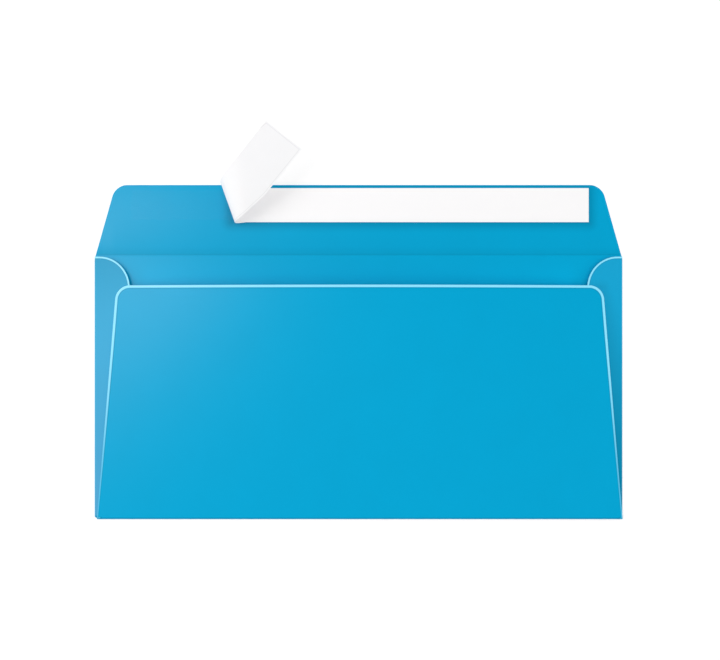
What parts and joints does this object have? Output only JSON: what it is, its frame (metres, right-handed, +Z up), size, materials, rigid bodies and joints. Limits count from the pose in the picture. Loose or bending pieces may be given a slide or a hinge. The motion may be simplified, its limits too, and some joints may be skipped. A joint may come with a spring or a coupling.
{
  "type": "paper envelope",
  "caption": "Long blue wallet envelope with its flap open and its peel-off seal liner partly peeled back; the mouth gapes to take a folded letter.",
  "frame": {"origin": "middle of the front panel's outer face, which the envelope lies on", "axes": "+X right along the envelope's length, +Y towards the open flap, +Z up through the pocket to the back panel"},
  "size_m": [0.22, 0.1595, 0.0248],
  "materials": {
    "blue_paper": "smooth uncoated paper, dyed through, pale cut edges",
    "liner_paper": "smooth siliconised paper with a soft sheen",
    "clear_adhesive": "clear pressure-sensitive film, glossy",
    "seam_glue": "dried white glue"
  },
  "bodies": {
    "root": {"envelope_sheet": "blue_paper", "release_liner": "liner_paper", "seal_adhesive": "clear_adhesive", "seam_glue_left": "seam_glue", "seam_glue_right": "seam_glue"}
  },
  "joints": []
}
